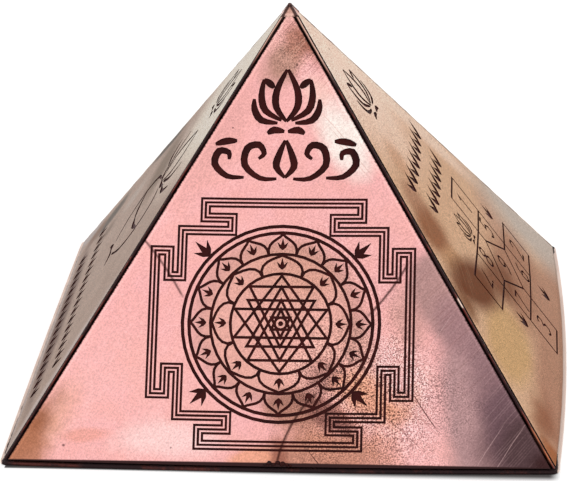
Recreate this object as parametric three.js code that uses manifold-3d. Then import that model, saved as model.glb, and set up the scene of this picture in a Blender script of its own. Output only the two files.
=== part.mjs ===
// Vastu pyramid: four etched copper sheets, soldered along the hips and onto a base plate.
// Millimetres, +Z up. The origin is the middle of the base, on the surface that the pyramid stands on.
import * as THREE from 'three';
import { mergeVertices } from 'three/addons/utils/BufferGeometryUtils.js';
import Module from 'manifold-3d';

const wasm = await Module();
wasm.setup();

// Overall form
const baseSide = 100; // corner to corner along the base
const height = 70.7; // to the point where the four outer faces meet
const bow = { front: 1.0, right: 1.8, back: 1.1, left: 0.2 }; // how far each base edge bulges at its middle
const sheet = 0.8; // thickness of the panels
const clearance = 0.3; // gap between neighbouring pieces
const bowTolerance = 0.05; // largest error of a flat facet on a bowed face
const circleTolerance = 0.04; // largest error of a straight stretch along a drawn circle

// Base plate
const plateThickness = 0.6;
const plateCornerRadius = 1.4;
const plateChamfer = 0.15;
const plateEdgeSteps = 12; // straight stretches along one bowed edge

// Solder seams along the hips
const seamCoreWidth = 0.5; // the bright line that shows between two panels
const seamGap = 0.35; // from the core to the panel beside it
const seamRecess = 0.06; // depth of the core's crown below the hip
const seamReach = 2.0; // how far the seam runs behind each panel
const seamThickness = 0.7; // of the part behind the panels

// Solder fillets between the panels and the base plate
const filletWidth = 2.2;
const filletHeight = 2.4;

// Solder tip
const capHeight = 1.9;
const capProud = 0.1; // how far its rim stands out past the panels
const capTipRadius = 0.45;
const stemRadius = 0.5;
const stemLength = 4.5;
const stemSides = 12;
const tipRings = 8;

// Etched lines
const etchDepth = 0.2;
const drawingGrid = 0.02; // every corner of an etched line lies on this grid
const fineLine = 0.44;
const mediumLine = 0.5;
const circleLine = 0.54;
const heavyLine = 0.62;
const brushWidth = 1.35; // widest part of a brush stroke
const brushEnd = 0.4; // share of that width left at its ends
const brushSteps = 3; // straight stretches between two points of a brush stroke
const smallBrushSteps = 2; // of a smaller stroke, on the sides and the back

// Circle, petals and triangles on the front
const figureHeight = 26.8; // centre, up the slope from the base line
const ringRadius = 17.8;
const ringInnerRadius = 16.6;
const outerPetalRadius = 12.7;
const starRadius = 9.1;
// Petals of a ring, and how far their sides swell before they close to the tip
const outerPetals = { count: 16, fullness: 0.68 };
const innerPetals = { count: 8, fullness: 0.8 };
const petalSteps = 6; // straight stretches along one side of a petal
const petalMark = { size: 2.2, inset: 0.8 }; // bud in each petal, and its distance from the petal's foot
const bindRing = { radius: 1.0, width: 0.3 };
const bindDotRadius = 0.48;
// Each triangle: base line, half-width and tip, measured from the centre
const starTriangles = [
  { base: 2.6, halfWidth: 8.35, tip: 8.75 },
  { base: 6.7, halfWidth: 5.75, tip: 4.25 },
  { base: 4.2, halfWidth: 6.05, tip: 6.65 },
  { base: 1.1, halfWidth: 1.7, tip: 2.55 },
];
const starLine = 0.5;

// Gated square round the circle: three parallel lines, the middle one measured from the centre
const gateLineSpacing = 0.73;
const frameHalfWidth = 18.3;
const frameHalfHeight = 16.85;
const upperGate = { neck: 9.3, head: 14.25, neckEnd: 19.25, out: 22.05 };
const sideGate = { neck: 8.35, head: 13.0, neckEnd: 20.65, out: 23.2 };

// Flower, scroll and marks on the front
const flowerHeight = 68.7;
const scrollHeight = 56.8;
const cornerMark = { x: 14.5, y: 13.5, size: 3.8 };

// Number grid and ornament on the right
const gridCentre = { x: 4.4, y: 20.0 };
const gridHalfWidth = 10.2;
const gridHalfHeight = 8.5;
const gridDiamond = 0.72; // reach of the diamond as a share of the grid's half size
const gridCornerReach = 0.68; // place of the corner numbers, as a share of the same
const digitHeight = 4.4;
const sideFlowerHeight = 66.0;
const sideFlowerStyle = { scale: 0.88, width: 0.95, fineness: smallBrushSteps };
const rightRows = [
  { from: -15.0, to: 18.5, y: 46.8 },
  { from: -12.5, to: 17.0, y: 40.4 },
];
const gridFlower = { x: -1.6, y: 33.2 };
const gridFlowerStyle = { scale: 0.56, width: 0.6, fineness: smallBrushSteps };
const gridMarks = [
  { x: -9.8, y: 12.2 },
  { x: 20.0, y: 23.6 },
  { x: 15.0, y: 5.0 },
];
const gridMarkSize = 4.2;

// Pot with leaves on the left, with two rows below it
const potHeight = 36.0;
const potStyle = { width: 1.15, fineness: smallBrushSteps };
const leftRows = [
  { from: -33.0, to: 33.0, y: 12.2 },
  { from: -33.0, to: 33.0, y: 4.5 },
];

// Number square on the back
const squareHeight = 21.5;
const squareCell = 9.0;
const backRows = [{ from: -13.5, to: 13.5, y: 46.0 }];

// Leaves, as shares of their own length
const leafBelly = 0.4; // height of the widest place
const leafStalk = 0.4; // width of the foot, as a share of the widest place
const budLeaves = [
  { length: 0.8, width: 0.25, aim: -0.62 },
  { length: 1, width: 0.3, aim: 0 },
  { length: 0.8, width: 0.25, aim: 0.62 },
];
const sprigLeaves = [
  { length: 1, width: 0.32, aim: 0.5 },
  { length: 0.7, width: 0.28, aim: -0.55 },
];
const sprigPitch = 3.8;
const sprigHeight = 4.6;

const half = baseSide / 2;
const slant = Math.hypot(half, height);
const slope = Math.atan2(height, half);
const panelBottom = plateThickness + clearance;
const panelTop = height - capHeight - clearance;
const boreRadius = stemRadius + clearance;
const quarterTurn = Math.PI / 2;
const overcut = 1; // how far a cutting tool reaches past what it cuts

// Solids

function solidOf(geometry) {
  const bare = geometry.clone();
  bare.deleteAttribute('normal');
  bare.deleteAttribute('uv');
  const merged = mergeVertices(bare, 1e-5);
  return new wasm.Manifold(new wasm.Mesh({
    numProp: 3,
    vertProperties: new Float32Array(merged.getAttribute('position').array),
    triVerts: new Uint32Array(merged.getIndex().array),
  }));
}

function geometryOf(positions, indices) {
  const geometry = new THREE.BufferGeometry();
  geometry.setAttribute('position', new THREE.Float32BufferAttribute(positions, 3));
  geometry.setIndex(Array.from(indices));
  geometry.computeVertexNormals();
  return geometry;
}

function geometryOfSolid(solid) {
  const mesh = solid.getMesh();
  return geometryOf(mesh.vertProperties, mesh.triVerts);
}

function extruded(shape, depth) {
  return new THREE.ExtrudeGeometry(shape, { depth, bevelEnabled: false });
}

// Moves each vertex to a fine grid, so that edges that nearly meet do meet
function snapped(solid) {
  const mesh = solid.getMesh();
  const onGrid = (value) => Math.round(value / drawingGrid) * drawingGrid;
  const positions = Array.from(mesh.vertProperties, onGrid);
  const merged = mergeVertices(geometryOf(positions, mesh.triVerts).deleteAttribute('normal'), 1e-5);
  const corners = inThrees(merged.getIndex().array);
  const whole = corners.filter(([a, b, c]) => a !== b && b !== c && c !== a);
  return solidOf(geometryOf(merged.getAttribute('position').array, whole.flat()));
}

function inThrees(values) {
  return Array.from({ length: values.length / 3 }, (_, i) => Array.from(values.slice(3 * i, 3 * i + 3)));
}

// Flat drawing: x across the face, y up its slope from the base line

function point(x, y) {
  return new THREE.Vector2(x, y);
}

function points(...pairs) {
  return pairs.map(([x, y]) => point(x, y));
}

function placed(path, x, y, { scale = 1, turn = 0, mirror = false } = {}) {
  return path.map((p) => {
    const q = point(mirror ? -p.x : p.x, p.y).multiplyScalar(scale);
    return q.rotateAround(point(0, 0), turn).add(point(x, y));
  });
}

function leftNormal(from, to) {
  return point(from.y - to.y, to.x - from.x).normalize();
}

// A path shifted sideways by a distance for each of its points, with mitred corners
function shifted(path, distances, closed) {
  const last = path.length - 1;
  return path.map((p, i) => {
    const before = i > 0 ? path[i - 1] : closed && path[last];
    const after = i < last ? path[i + 1] : closed && path[0];
    const first = before ? leftNormal(before, p) : leftNormal(p, after);
    const second = after ? leftNormal(p, after) : first;
    const mitre = first.clone().add(second).divideScalar(1 + first.dot(second));
    return p.clone().addScaledVector(mitre, distances[i]);
  });
}

function line(path, width, closed = false) {
  const anticlockwise = closed && THREE.ShapeUtils.area(path) < 0 ? [...path].reverse() : path;
  const halfWidths = anticlockwise.map((_, i) => (Array.isArray(width) ? width[i] : width) / 2);
  const inner = shifted(anticlockwise, halfWidths, closed);
  const outer = shifted(anticlockwise, halfWidths.map((w) => -w), closed);
  if (!closed) return new THREE.Shape([...inner, ...outer.reverse()]);
  const shape = new THREE.Shape(outer);
  shape.holes.push(new THREE.Path(inner));
  return shape;
}

// A brush stroke through a few points, wide in the middle and narrow at its ends
function brush(path, width, fineness) {
  const steps = (path.length - 1) * fineness;
  const spine = new THREE.SplineCurve(path).getPoints(steps);
  const swell = spine.map((_, i) => brushEnd + (1 - brushEnd) * Math.sin((Math.PI * i) / steps));
  return line(spine, swell.map((s) => s * width));
}

function circlePath(radius, x, y) {
  const segments = 4 * Math.ceil(Math.PI / Math.acos(1 - circleTolerance / radius) / 4);
  return Array.from({ length: segments }, (_, i) => {
    const angle = (2 * Math.PI * i) / segments;
    return point(x + radius * Math.sin(angle), y - radius * Math.cos(angle));
  });
}

function circle(radius, width, x, y) {
  return line(circlePath(radius, x, y), width, true);
}

// Pointed leaves that grow from one foot, each aimed clockwise from straight up
function leaves(kinds, x, y, size, aim = 0) {
  return kinds.map((leaf) => {
    const foot = (leaf.width * leafStalk) / 2;
    const belly = leaf.length * leafBelly;
    const side = leaf.width / 2;
    const outline = points([-foot, 0], [foot, 0], [side, belly], [0, leaf.length], [-side, belly]);
    return new THREE.Shape(placed(outline, x, y, { scale: size, turn: -aim - leaf.aim }));
  });
}

function mirroredBrushes(paths, x, y, { scale = 1, width = brushWidth, fineness = brushSteps } = {}) {
  return [false, true].flatMap((mirror) =>
    paths.map((path) => brush(placed(path, x, y, { scale, mirror }), width, fineness)));
}

// Open lotus seen from the front, about 11 by 11 at scale 1
function flower(x, y, options = {}) {
  const centre = points([0, -4.6], [1.9, -2.0], [1.9, 1.2], [0.1, 5.2]);
  const sideOuter = points([0.9, -4.4], [3.9, -2.6], [4.7, 0.2], [4.3, 3.3]);
  const sideInner = points([4.3, 3.3], [3.2, 2.5], [2.4, 1.7]);
  const lowOuter = points([1.6, -4.9], [4.6, -4.4], [5.9, -2.4], [6.0, -0.4]);
  const foot = points([0.3, -6.5], [2.2, -6.2], [3.4, -6.9]);
  return mirroredBrushes([centre, sideOuter, sideInner, lowOuter, foot], x, y, options);
}

// Scroll band with a bud in its middle, 28 wide and 8 high
function scroll(x, y) {
  const budSide = points([0, -3.2], [1.6, -1.2], [1.2, 1.0], [0.1, 3.8]);
  const volute = points(
    [1.5, -3.4], [4.6, -3.3], [7.4, -0.9], [7.0, 2.2], [4.9, 2.9], [3.9, 1.3], [4.9, 0.3]);
  const tail = points([7.5, -3.2], [10.6, -3.0], [12.9, -0.8], [12.2, 1.6], [10.4, 1.4], [10.3, 0.1]);
  const curl = points([8.9, 3.6], [10.9, 3.5], [12.9, 2.9]);
  return mirroredBrushes([budSide, volute, tail, curl], x, y);
}

// Petals of one ring, each with a bud in it: their feet lie on the inner circle, and their tips end inside
// the outer circle's line
function petals({ count, fullness }, inner, outer, x, y) {
  const reach = outer - inner - mediumLine / 2;
  const side = new THREE.CubicBezierCurve(
    point(1, 0), point(1.03, fullness), point(0.26, fullness), point(0, 1)).getPoints(petalSteps);
  const outline = [...side, ...side.slice(0, -1).reverse().map((p) => point(-p.x, p.y))];
  const round = (angle, radius) => point(x + radius * Math.sin(angle), y + radius * Math.cos(angle));
  return Array.from({ length: count }, (_, i) => {
    const path = outline.map((p) => round(((2 * i + p.x) * Math.PI) / count, inner + p.y * reach));
    const aim = (2 * i * Math.PI) / count;
    const foot = round(aim, inner + petalMark.inset);
    return [line(path, mediumLine), ...leaves(budLeaves, foot.x, foot.y, petalMark.size, aim)];
  }).flat();
}

function starLines(x, y) {
  return starTriangles.flatMap(({ base, halfWidth, tip }) => [1, -1].map((up) => {
    const corners = points([-halfWidth, -up * base], [halfWidth, -up * base], [0, up * tip]);
    return line(placed(corners, x, y), starLine, true);
  }));
}

// One quarter of the gated square, from the middle of its top to the middle of its right side
function gateQuarter() {
  return points(
    [upperGate.head, upperGate.out], [upperGate.head, upperGate.neckEnd],
    [upperGate.neck, upperGate.neckEnd], [upperGate.neck, frameHalfHeight],
    [frameHalfWidth, frameHalfHeight], [frameHalfWidth, sideGate.neck],
    [sideGate.neckEnd, sideGate.neck], [sideGate.neckEnd, sideGate.head],
    [sideGate.out, sideGate.head]);
}

function gatedSquare(x, y) {
  const quarter = gateQuarter();
  const below = [...quarter].reverse().map((p) => point(p.x, -p.y));
  const right = [...quarter, ...below];
  const left = [...right].reverse().map((p) => point(-p.x, p.y));
  const path = placed([...right, ...left], x, y);
  return [-1, 0, 1].map((step) =>
    line(shifted(path, path.map(() => step * gateLineSpacing), true), fineLine, true));
}

// Plain numbers drawn on a grid 4 wide and 6 high; a stroke that ends where it began is a loop
const digitGrid = { width: 4, height: 6 };
const sixStroke = [
  [3.2, 5.9], [1.4, 4.8], [0.5, 2.6], [0.9, 0.6], [2.2, 0], [3.6, 0.8], [3.5, 2.6], [2.2, 3.3], [1.0, 2.7]];
const digitStrokes = {
  1: [[[1.0, 4.8], [2.2, 6], [2.2, 0]]],
  2: [[[0.4, 4.6], [1.2, 5.9], [2.9, 5.9], [3.6, 4.6], [3.0, 3.0], [0.4, 0], [3.8, 0]]],
  3: [[[0.4, 5.3], [1.6, 6], [3.2, 5.6], [3.3, 4.2], [1.8, 3.3], [3.6, 2.4], [3.5, 0.7], [1.9, 0],
    [0.3, 0.7]]],
  4: [[[3.0, 0], [3.0, 6], [0.2, 1.8], [4.0, 1.8]]],
  5: [[[3.5, 6], [0.8, 6], [0.6, 3.3], [2.4, 3.8], [3.7, 2.4], [3.3, 0.6], [1.8, 0], [0.3, 0.7]]],
  6: [sixStroke],
  7: [[[0.4, 6], [3.7, 6], [1.5, 0]]],
  8: [
    [[2, 3.2], [3.3, 4.1], [3.1, 5.5], [2, 6], [0.9, 5.5], [0.7, 4.1], [2, 3.2]],
    [[2, 3.2], [0.4, 2.1], [0.7, 0.5], [2, 0], [3.3, 0.5], [3.6, 2.1], [2, 3.2]],
  ],
  9: [sixStroke.map(([x, y]) => [digitGrid.width - x, digitGrid.height - y])],
};

function digit(value, x, y) {
  const scale = digitHeight / digitGrid.height;
  return digitStrokes[value].map((stroke) => {
    const path = points(...stroke.map(([u, v]) => [u - digitGrid.width / 2, v - digitGrid.height / 2]));
    const closed = path[0].equals(path.at(-1));
    return line(placed(closed ? path.slice(1) : path, x, y, { scale }), mediumLine, closed);
  });
}

function sprigRow({ from, to, y }) {
  const count = Math.floor((to - from) / sprigPitch);
  const start = (from + to) / 2 - (count * sprigPitch) / 2;
  return Array.from({ length: count }, (_, i) => {
    return leaves(sprigLeaves, start + (i + 0.4) * sprigPitch, y, sprigHeight);
  }).flat();
}

function rectangle(x0, y0, x1, y1) {
  return line(points([x0, y0], [x1, y0], [x1, y1], [x0, y1]), mediumLine, true);
}

// Nine cells: four corners of a square round a diamond, and four more cells set like the sails of a windmill
function numberGrid({ x, y }) {
  const w = gridHalfWidth;
  const h = gridHalfHeight;
  const shapes = [rectangle(x - w, y - h, x + w, y + h)];
  const diamond = placed(points([0, -h], [w, 0], [0, h], [-w, 0]), x, y, { scale: gridDiamond });
  shapes.push(line(diamond, mediumLine, true));
  const sails = [[0, 1, 1, 2], [1, -1, 2, 0], [-1, -2, 0, -1], [-2, 0, -1, 1]];
  sails.forEach(([x0, y0, x1, y1], i) => {
    shapes.push(rectangle(x + x0 * w, y + y0 * h, x + x1 * w, y + y1 * h));
    shapes.push(...digit(i + 1, x + ((x0 + x1) * w) / 2, y + ((y0 + y1) * h) / 2));
  });
  const arms = [[0, 1], [1, 0], [0, -1], [-1, 0]];
  arms.forEach(([u, v]) => {
    const near = [x + u * w * gridDiamond, y + v * h * gridDiamond];
    shapes.push(line(points(near, [x + u * w, y + v * h]), mediumLine));
  });
  const corners = [[1, 1], [1, -1], [-1, -1], [-1, 1]];
  corners.forEach(([u, v], i) => {
    shapes.push(...digit(i + 5, x + u * w * gridCornerReach, y + v * h * gridCornerReach));
  });
  return [...shapes, ...digit(9, x, y)];
}

// Three rows of three numbers, each row, column and diagonal with the same sum
function numberSquare(x, y) {
  const rows = [[4, 9, 2], [3, 5, 7], [8, 1, 6]];
  const cell = squareCell;
  const reach = 1.5 * cell;
  const shapes = [rectangle(x - reach, y - reach, x + reach, y + reach)];
  [-0.5, 0.5].forEach((step) => {
    shapes.push(line(points([x - reach, y + step * cell], [x + reach, y + step * cell]), mediumLine));
    shapes.push(line(points([x + step * cell, y - reach], [x + step * cell, y + reach]), mediumLine));
  });
  rows.forEach((row, i) => row.forEach((value, j) =>
    shapes.push(...digit(value, x + (j - 1) * cell, y + (1 - i) * cell))));
  return shapes;
}

// Round pot with a rim, leaves and a pointed fruit
function pot(x, y) {
  const belly = points([2.4, 6.2], [6.6, 4.6], [9.3, -0.6], [7.6, -6.6], [3.0, -10.2]);
  const band = points([0, -2.6], [4.6, -2.2], [9.0, -0.2]);
  const foot = points([0, -11.4], [2.4, -11.3], [4.6, -12.4]);
  const rim = points([0, 7.0], [2.8, 7.1], [5.2, 8.4]);
  const fruit = points([1.2, 7.6], [3.6, 11.0], [2.6, 15.4], [0, 19.6]);
  const leafUp = points([2.6, 8.2], [6.6, 11.0], [8.0, 15.6]);
  const leafDown = points([5.2, 8.2], [9.0, 8.8], [11.8, 11.6]);
  const lines = [belly, band, foot, rim, fruit, leafUp, leafDown];
  return mirroredBrushes(lines, x, y, potStyle);
}

function frontDrawing() {
  const y = figureHeight;
  const { x: markX, y: markY, size } = cornerMark;
  const marks = [[1, 1], [1, -1], [-1, -1], [-1, 1]].flatMap(([u, v]) => {
    const foot = point(u * (markX - size / 3), y + v * (markY - size / 3));
    return leaves(budLeaves, foot.x, foot.y, size, Math.atan2(u * markX, v * markY));
  });
  return [
    circle(ringRadius, heavyLine, 0, y),
    circle(ringInnerRadius, heavyLine, 0, y),
    circle(outerPetalRadius, circleLine, 0, y),
    circle(starRadius, circleLine, 0, y),
    circle(bindRing.radius, bindRing.width, 0, y),
    new THREE.Shape(circlePath(bindDotRadius, 0, y)),
    ...petals(outerPetals, outerPetalRadius, ringInnerRadius, 0, y),
    ...petals(innerPetals, starRadius, outerPetalRadius, 0, y),
    ...starLines(0, y),
    ...gatedSquare(0, y),
    ...marks,
    ...flower(0, flowerHeight),
    ...scroll(0, scrollHeight),
  ];
}

function rightDrawing() {
  return [
    ...flower(0, sideFlowerHeight, sideFlowerStyle),
    ...rightRows.flatMap(sprigRow),
    ...flower(gridFlower.x, gridFlower.y, gridFlowerStyle),
    ...numberGrid(gridCentre),
    ...gridMarks.flatMap(({ x, y }) => leaves(budLeaves, x, y, gridMarkSize)),
  ];
}

function leftDrawing() {
  return [
    ...flower(0, sideFlowerHeight, sideFlowerStyle),
    ...pot(0, potHeight),
    ...leftRows.flatMap(sprigRow),
  ];
}

function backDrawing() {
  return [
    ...flower(0, sideFlowerHeight, sideFlowerStyle),
    ...backRows.flatMap(sprigRow),
    ...numberSquare(0, squareHeight),
  ];
}

// Panels, each made as the front one and turned into place

// From flat drawing to the front face: y runs up the slope, z out of the face
const faceFrame = new THREE.Matrix4()
  .makeTranslation(0, -half, 0)
  .multiply(new THREE.Matrix4().makeRotationX(slope));

function bulge(x, z, rise) {
  const taper = Math.max(1 - z / height, 1e-6);
  return rise * Math.max(taper - (x / half) ** 2 / taper, 0);
}

// Splits each edge that would stray from the bowed face, and its triangles with it
function splitForBow(positions, triangles, rise) {
  const middles = new Map();
  const middleOf = (a, b) => {
    const key = a < b ? `${a} ${b}` : `${b} ${a}`;
    if (middles.has(key)) return middles.get(key);
    const [pa, pb] = [positions[a], positions[b]];
    const middle = pa.map((value, i) => (value + pb[i]) / 2);
    const straight = (bulge(pa[0], pa[2], rise) + bulge(pb[0], pb[2], rise)) / 2;
    const strays = Math.abs(bulge(middle[0], middle[2], rise) - straight) > bowTolerance;
    middles.set(key, strays ? positions.push(middle) - 1 : null);
    return middles.get(key);
  };
  return triangles.flatMap((corners) => {
    const cuts = corners.map((corner, i) => middleOf(corner, corners[(i + 1) % 3]));
    const count = cuts.filter((cut) => cut !== null).length;
    if (count === 0) return [corners];
    const first = count === 1 ? cuts.findIndex((cut) => cut !== null) : (cuts.indexOf(null) + 1) % 3;
    const [a, b, c] = [0, 1, 2].map((i) => corners[(first + i) % 3]);
    const [ab, bc, ca] = [0, 1, 2].map((i) => cuts[(first + i) % 3]);
    if (count === 1) return [[a, ab, c], [ab, b, c]];
    if (count === 2) return [[ab, b, bc], [a, ab, bc], [a, bc, c]];
    return [[a, ab, ca], [ab, b, bc], [ca, bc, c], [ab, bc, ca]];
  });
}

// Bends a solid made on the flat front face to that face's bow
function bowed(solid, rise) {
  const mesh = solid.getMesh();
  const positions = inThrees(mesh.vertProperties);
  let triangles = inThrees(mesh.triVerts);
  for (let before = 0; before !== triangles.length;) {
    before = triangles.length;
    triangles = splitForBow(positions, triangles, rise);
  }
  const bent = positions.flatMap(([x, y, z]) => [x, y - bulge(x, z, rise), z]);
  return geometryOf(bent, triangles.flat());
}

// Upright wedge of space that belongs to the front face, held back from the hips and cut level at both ends
function frontWedge(inset, bottom, top) {
  const tip = -inset * Math.SQRT2;
  const plan = new THREE.Shape(points([0, tip], [-baseSide, tip - baseSide], [baseSide, tip - baseSide]));
  return solidOf(extruded(plan, top - bottom).translate(0, 0, bottom));
}

function stemBore() {
  const length = stemLength + capHeight + overcut;
  const bore = new THREE.CylinderGeometry(boreRadius, boreRadius, length, stemSides);
  return solidOf(bore.rotateX(quarterTurn).translate(0, 0, panelTop - stemLength - clearance + length / 2));
}

// The drawing as one cutting tool, on the flat face
function etching(shapes) {
  const cutter = (shape) => solidOf(extruded(shape, etchDepth + overcut).translate(0, 0, -etchDepth));
  return snapped(shapes.map(cutter).reduce((all, stroke) => all.add(stroke)));
}

function panel(drawing, rise) {
  const outline = new THREE.Shape(points([-half, 0], [half, 0], [0, slant]));
  const toFlat = faceFrame.clone().invert();
  const inFlat = (solid) => solid.transform(toFlat.elements);
  const blank = solidOf(extruded(outline, sheet).translate(0, 0, -sheet))
    .intersect(inFlat(frontWedge(seamCoreWidth / 2 + seamGap, panelBottom, panelTop)))
    .subtract(inFlat(stemBore()));
  return bowed(blank.subtract(etching(drawing)).transform(faceFrame.elements), rise);
}

// Fillet in the corner between the front panel and the base plate
function baseSeam(rise) {
  const lean = 1 / Math.tan(slope);
  const foot = half - panelBottom * lean - (sheet + clearance) / Math.sin(slope);
  const section = new THREE.Shape(points(
    [-foot, panelBottom], [-foot + filletWidth, panelBottom],
    [-foot + filletHeight * lean, panelBottom + filletHeight]));
  const alongX = new THREE.Matrix4().makeBasis(
    new THREE.Vector3(0, 1, 0), new THREE.Vector3(0, 0, 1), new THREE.Vector3(1, 0, 0));
  const bar = extruded(section, baseSide).translate(0, 0, -half).applyMatrix4(alongX);
  const wedge = frontWedge(seamReach + clearance, 0, panelTop);
  return bowed(solidOf(bar).intersect(wedge), rise);
}

// Solder seam along the hip between the front and right faces: a narrow core that shows, and a wider back
function hipSeam() {
  // Fall of each face below the horizontal, in a cut square to the hip
  const fall = Math.acos(Math.cos(slope) ** 2) / 2;
  const below = (across, depth) => [across, -across * Math.tan(fall) - depth / Math.cos(fall)];
  const core = seamCoreWidth / 2;
  const side = [
    below(core, seamRecess), below(core, sheet + clearance), below(seamReach, sheet + clearance),
    below(seamReach, sheet + clearance + seamThickness)];
  const otherSide = [...side].reverse().map(([across, down]) => [-across, down]);
  const keel = below(0, sheet + clearance + seamThickness);
  const section = new THREE.Shape(points(below(0, seamRecess), ...side, keel, ...otherSide));
  const across = new THREE.Vector3(1, 1, 0).normalize();
  const downHip = new THREE.Vector3(half, -half, -height).normalize();
  const outward = downHip.clone().cross(across);
  const frame = new THREE.Matrix4().makeBasis(across, outward, downHip).setPosition(0, 0, height);
  const bar = extruded(section, Math.hypot(half * Math.SQRT2, height) + overcut).applyMatrix4(frame);
  const corner = new THREE.BoxGeometry(baseSide, baseSide, panelTop - panelBottom).translate(
    (baseSide + clearance) / 2, -(baseSide + clearance) / 2, (panelTop + panelBottom) / 2);
  return geometryOfSolid(solidOf(bar).intersect(solidOf(corner)).subtract(stemBore()));
}

// Square block about the Z axis that narrows upwards, given by the half-widths of its ends
function squareTaper(bottomHalf, topHalf, bottom, top) {
  const block = new THREE.CylinderGeometry(topHalf * Math.SQRT2, bottomHalf * Math.SQRT2, top - bottom, 4);
  return block.rotateY(quarterTurn / 2).rotateX(quarterTurn).translate(0, 0, (top + bottom) / 2);
}

function apexCap() {
  const halfAt = (drop) => (drop * half) / height + capProud;
  const rim = height - capHeight;
  const crown = height - capTipRadius;
  const stemTop = rim + clearance;
  const stemBottom = panelTop - stemLength;
  const body = solidOf(squareTaper(halfAt(capHeight), halfAt(capTipRadius), rim, crown));
  const tip = new THREE.SphereGeometry(capTipRadius, stemSides, tipRings).translate(0, 0, crown);
  const stem = new THREE.CylinderGeometry(stemRadius, stemRadius, stemTop - stemBottom, stemSides);
  stem.rotateX(quarterTurn).translate(0, 0, (stemTop + stemBottom) / 2);
  return geometryOfSolid(body.add(solidOf(tip)).add(solidOf(stem)));
}

function basePlate() {
  const straight = half - plateCornerRadius;
  const edges = faces.map(({ rise, turn }) =>
    Array.from({ length: plateEdgeSteps + 1 }, (_, i) => {
      const x = straight * ((2 * i) / plateEdgeSteps - 1);
      return point(x, -half - bulge(x, 0, rise)).rotateAround(point(0, 0), turn);
    }));
  const outline = new THREE.Shape();
  outline.moveTo(edges[0][0].x, edges[0][0].y);
  edges.forEach((edge, i) => {
    edge.forEach((p) => outline.lineTo(p.x, p.y));
    const corner = point(half, -half).rotateAround(point(0, 0), faces[i].turn);
    const next = edges[(i + 1) % edges.length][0];
    outline.quadraticCurveTo(corner.x, corner.y, next.x, next.y);
  });
  return new THREE.ExtrudeGeometry(outline, {
    depth: plateThickness - 2 * plateChamfer,
    bevelThickness: plateChamfer,
    bevelSize: plateChamfer,
    bevelOffset: -plateChamfer,
    bevelSegments: 1,
    curveSegments: 5,
  }).translate(0, 0, plateChamfer);
}

// Assembly

const faces = [
  { name: 'front', rise: bow.front, turn: 0, drawing: frontDrawing() },
  { name: 'right', rise: bow.right, turn: quarterTurn, drawing: rightDrawing() },
  { name: 'back', rise: bow.back, turn: 2 * quarterTurn, drawing: backDrawing() },
  { name: 'left', rise: bow.left, turn: -quarterTurn, drawing: leftDrawing() },
];
const hips = ['front_right', 'back_right', 'back_left', 'front_left'];

function piece(name, geometry, color, roughness, turn = 0) {
  const mesh = new THREE.Mesh(geometry, new THREE.MeshStandardMaterial({ color, roughness, metalness: 1 }));
  mesh.name = name;
  mesh.rotation.z = turn;
  return mesh;
}

const pyramid = new THREE.Group();
faces.forEach(({ name, rise, turn, drawing }) => {
  pyramid.add(piece(`${name}_panel`, panel(drawing, rise), 0xe0998c, 0.32, turn));
  pyramid.add(piece(`base_seam_${name}`, baseSeam(rise), 0x8a5a4c, 0.55, turn));
});
hips.forEach((name, i) => pyramid.add(piece(`hip_seam_${name}`, hipSeam(), 0xc9a294, 0.4, i * quarterTurn)));
pyramid.add(piece('apex_cap', apexCap(), 0xcbb8a8, 0.45));
pyramid.add(piece('base_plate', basePlate(), 0x9a5f50, 0.5));
pyramid.position.set((bow.left - bow.right) / 2, (bow.front - bow.back) / 2, 0);

export default pyramid;
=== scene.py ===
"""Dresses the vastu pyramid: etched copper panels, solder seams, a solder tip and a base plate."""
import logging
import math
from collections.abc import Callable
from dataclasses import dataclass, field
from enum import Enum
from functools import partialmethod

import bmesh
import bpy
from bpy.types import ID, Material, Mesh, Node, NodeOutputs as Given, NodeSocket as Socket, NodeTree, Object
from mathutils import Matrix, Vector, noise


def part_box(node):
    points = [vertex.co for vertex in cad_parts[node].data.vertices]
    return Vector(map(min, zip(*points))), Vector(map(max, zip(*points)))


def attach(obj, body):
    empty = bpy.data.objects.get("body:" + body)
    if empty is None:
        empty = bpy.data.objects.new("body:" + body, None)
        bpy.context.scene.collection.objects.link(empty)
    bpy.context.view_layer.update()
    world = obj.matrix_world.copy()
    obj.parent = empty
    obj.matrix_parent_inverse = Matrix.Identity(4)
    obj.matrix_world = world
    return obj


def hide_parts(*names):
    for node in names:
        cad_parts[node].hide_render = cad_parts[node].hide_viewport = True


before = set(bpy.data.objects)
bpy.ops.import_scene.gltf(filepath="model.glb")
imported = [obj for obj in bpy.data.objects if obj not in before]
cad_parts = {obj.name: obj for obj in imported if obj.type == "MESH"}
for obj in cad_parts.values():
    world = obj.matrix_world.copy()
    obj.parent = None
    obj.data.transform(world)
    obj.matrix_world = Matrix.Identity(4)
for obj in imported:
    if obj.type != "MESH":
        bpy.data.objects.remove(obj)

LOG = logging.getLogger("vastu_pyramid")
MM = 0.001
BASE_SIDE = 100 * MM  # corner to corner along the base
ETCH_RANGE = (0.1 * MM, 0.3 * MM)  # how deep the floor of an etched line may lie
MERGE = 0.0005 * MM  # corners closer than this are one corner
SHARP = math.radians(25)
ALONG_BOW = 0.98  # cosine: how closely a face has to follow the bow
HAIR_LENGTH = 17.0  # of a scratch, in millimetres
ARC_LINE_FADE = 1.5  # at both ends of an arc line, in millimetres
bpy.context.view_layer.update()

Span = tuple[float, float]
Triple = tuple[float, float, float]
Colour = Triple
Inputs = dict[str | int, object]


def tone(*screen: int) -> Colour:
    """Turns a colour as seen on a screen, three numbers from 0 to 255, into linear light."""
    shares = [value / 255 for value in screen]
    return tuple(share / 12.92 if share <= 0.04045 else ((share + 0.055) / 1.055) ** 2.4 for share in shares)


class Side(Enum):
    """The four sides, each with its quarter turns from the front."""

    FRONT = 0
    RIGHT = 1
    BACK = 2
    LEFT = -1

    @property
    def label(self) -> str:
        """The side's name in the names of pieces."""
        return self.name.lower()


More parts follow.
